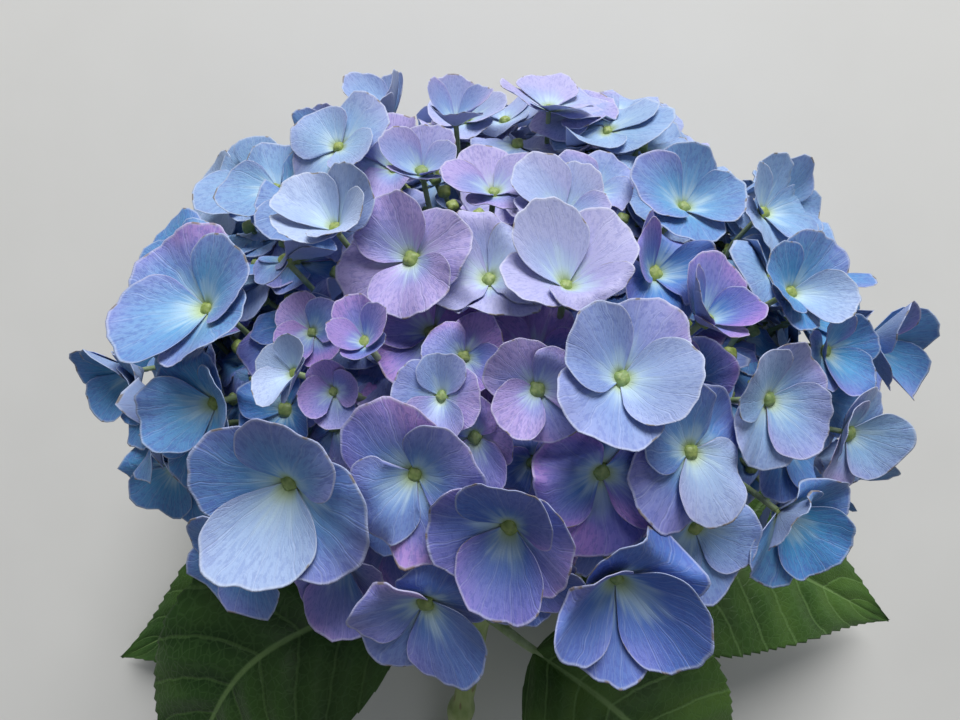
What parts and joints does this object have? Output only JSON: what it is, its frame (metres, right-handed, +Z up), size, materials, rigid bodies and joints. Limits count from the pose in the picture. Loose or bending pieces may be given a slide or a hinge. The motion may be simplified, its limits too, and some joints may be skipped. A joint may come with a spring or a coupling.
{
  "type": "cut hydrangea flower head",
  "caption": "Large domed head of blue and lilac florets on a short cut stem with its leaves, lying on its side.",
  "frame": {"origin": "bottom centre of the overall box, on the floor that the shoot lies on", "axes": "+Z up; +Y along the shoot from its cut end to its head; +X to the right for someone who looks down on the head with the cut end towards them"},
  "size_m": [0.3827, 0.3257, 0.2358],
  "materials": {
    "sepal_blue": "satin petal, blue to lilac",
    "stalk_green": "smooth pale green",
    "stem_green": "smooth green with small specks",
    "leaf_green": "satin leaf with sunk veins"
  },
  "bodies": {
    "root": {"stem": "stem_green", "leaf_front_left": "leaf_green", "leaf_front_right": "leaf_green", "leaf_back_right": "leaf_green", "leaf_back_left": "leaf_green", "ray_crown": "stalk_green", "ray_front": "stalk_green", "ray_front_right": "stalk_green", "ray_back_right": "stalk_green", "ray_back": "stalk_green", "ray_back_left": "stalk_green", "ray_front_left": "stalk_green", "florets_crown": "sepal_blue", "florets_front": "sepal_blue", "florets_front_right": "sepal_blue", "florets_back_right": "sepal_blue", "florets_back": "sepal_blue", "florets_back_left": "sepal_blue", "florets_front_left": "sepal_blue"}
  },
  "joints": []
}
